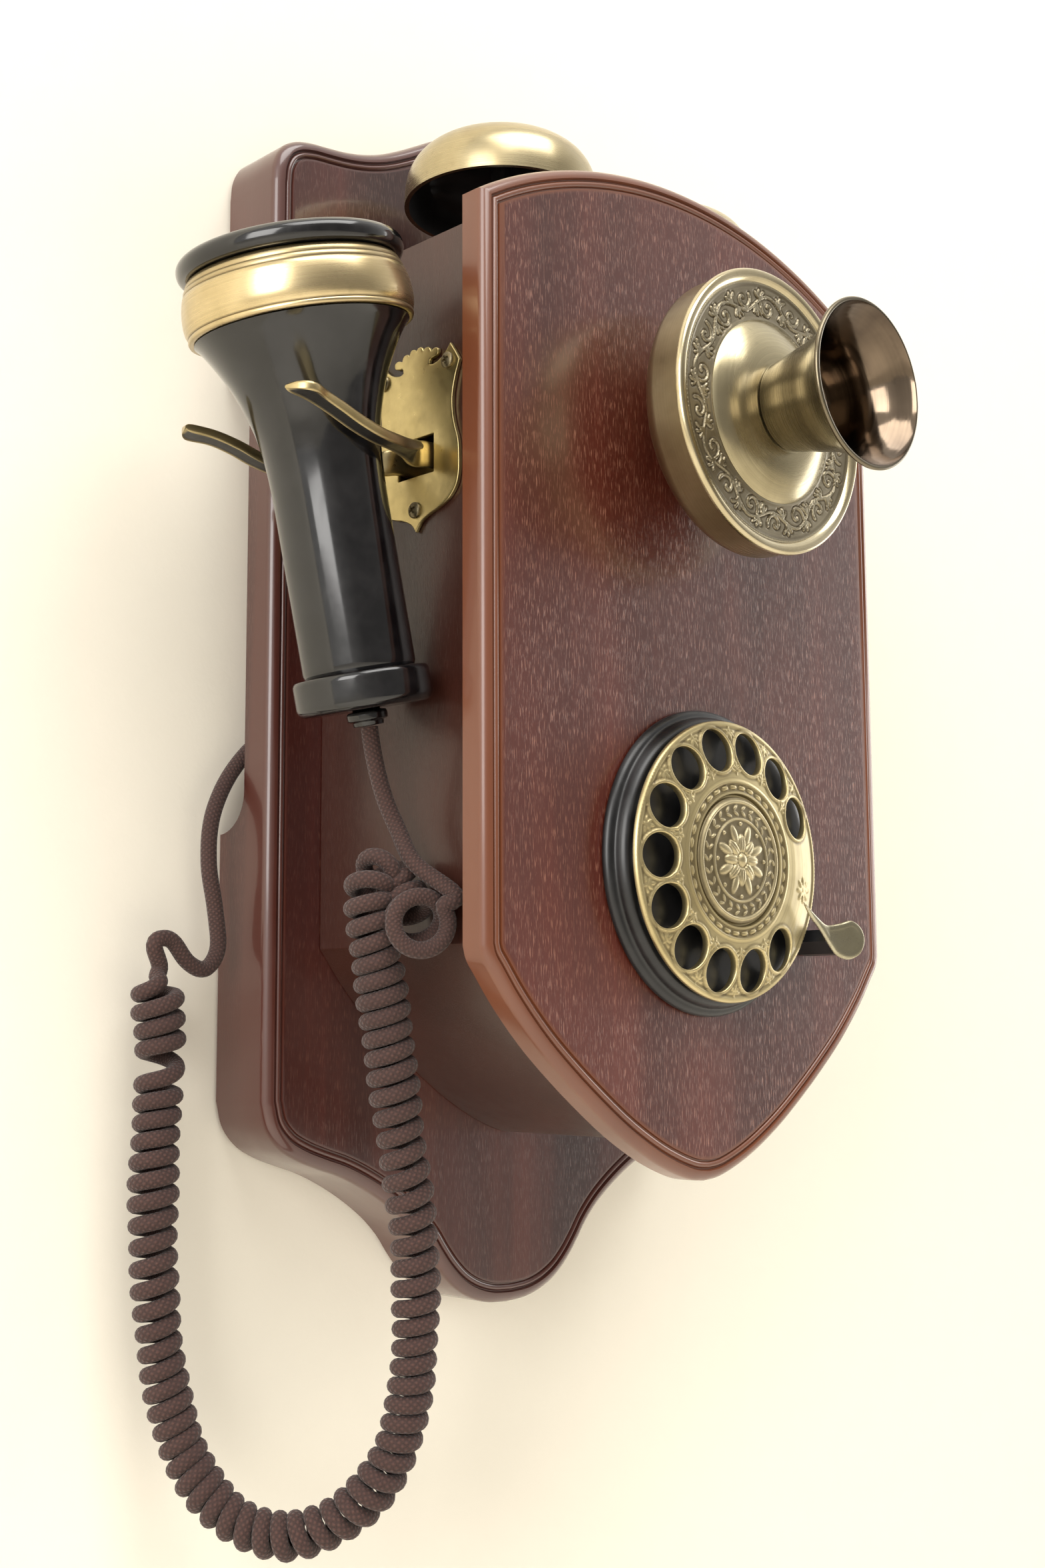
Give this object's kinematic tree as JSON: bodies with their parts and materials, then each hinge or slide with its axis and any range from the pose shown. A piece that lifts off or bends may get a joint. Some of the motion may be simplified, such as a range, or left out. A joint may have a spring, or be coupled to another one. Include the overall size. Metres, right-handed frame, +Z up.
{
  "type": "rotary wall telephone",
  "caption": "Wall telephone in antique style: wooden case on a shaped back board, brass bells, horn mouthpiece, finger wheel, and a black receiver hanging on a fork hook by a curly cord.",
  "frame": {"origin": "on the back face of the board, in the middle of its width, level with the middle of its height; the wall is the plane Y = 0", "axes": "+Z up, +Y into the wall, +X to the right for someone facing the telephone; the hook and the receiver are on the -X side"},
  "size_m": [0.278, 0.1857, 0.483],
  "materials": {
    "board_wood": "dark red-brown lacquer with an upright figure",
    "case_wood": "satin red-brown lacquer over open upright grain",
    "antique_brass": "brushed and darkened in the recesses",
    "yellow_brass": "plain polished sheet",
    "black_resin": "glossy black",
    "braided_cord": "brown braided cotton sleeve",
    "circuit_board": "matt green",
    "copper_winding": "varnished copper wire",
    "steel": "plain plated steel"
  },
  "bodies": {
    "body": {"board_rear_layer": "board_wood", "board_front": "board_wood", "case_side_left": "case_wood", "case_side_right": "case_wood", "case_top": "case_wood", "case_foot": "case_wood", "front_panel": "case_wood", "bell_gong_left": "antique_brass", "bell_post_left": "steel", "bell_nut_left": "antique_brass", "bell_gong_right": "antique_brass", "bell_post_right": "steel", "bell_nut_right": "antique_brass", "ringer_yoke": "steel", "ringer_coil_left": "copper_winding", "ringer_coil_right": "copper_winding", "ringer_bridge": "steel", "ringer_pin": "steel", "transmitter_shell": "antique_brass", "transmitter_bezel": "antique_brass", "transmitter_face": "antique_brass", "mouthpiece_horn": "antique_brass", "microphone": "steel", "dial_base": "black_resin", "return_spring": "steel", "dial_housing": "steel", "finger_stop": "yellow_brass", "finger_stop_foot": "black_resin", "hook_plate": "yellow_brass", "hook_screw_1": "yellow_brass", "hook_screw_2": "yellow_brass", "hook_screw_3": "yellow_brass", "hook_pin": "steel", "hook_bracket": "steel", "hook_spring": "steel", "hook_contacts": "circuit_board", "circuit_board": "circuit_board", "board_spacer_1": "steel", "board_spacer_2": "steel", "board_spacer_3": "steel", "board_spacer_4": "steel", "hanger_plate": "steel", "cord_grommet": "black_resin", "cord_coil": "braided_cord", "cord_lead_receiver": "braided_cord", "cord_lead_board": "braided_cord"},
    "dial": {"finger_wheel": "antique_brass", "dial_medallion": "antique_brass", "dial_shaft": "steel", "dial_gear": "antique_brass"},
    "pinion": {"pulse_pinion": "steel"},
    "hook": {"hook_lever": "yellow_brass"},
    "clapper": {"clapper": "antique_brass"},
    "receiver": {"receiver_tube": "black_resin", "receiver_band": "antique_brass", "ear_cap": "black_resin", "receiver_capsule": "steel", "receiver_end_cap": "black_resin", "receiver_bush": "black_resin"}
  },
  "joints": [
    {"name": "dial_turn", "type": "hinge", "parent": "body", "child": "dial", "pos_m": [0, -0.117, -0.065], "axis": [0, 1, 0], "range_deg": [0, 331], "stiffness_Nm_per_rad": 0.012},
    {"name": "pinion_spin", "type": "hinge", "parent": "body", "child": "pinion", "pos_m": [0.0208, -0.117, -0.065], "axis": [0, 1, 0], "range_deg": [-994, 0]},
    {"name": "hook_lift", "type": "hinge", "parent": "body", "child": "hook", "pos_m": [-0.06, -0.075, 0.06], "axis": [0, 1, 0], "range_deg": [0, 3.5], "stiffness_Nm_per_rad": 3},
    {"name": "clapper_swing", "type": "hinge", "parent": "body", "child": "clapper", "pos_m": [0, -0.067, 0.117], "axis": [0, 1, 0], "range_deg": [-4.2, 4.2], "stiffness_Nm_per_rad": 0.02},
    {"name": "receiver_lift", "type": "slide", "parent": "body", "child": "receiver", "axis": [-0.225, 0, 0.9744], "range_m": [0, 0.045]}
  ],
  "couplings": [
    {"joint": "pinion_spin", "follows": "dial_turn", "ratio": -3}
  ]
}
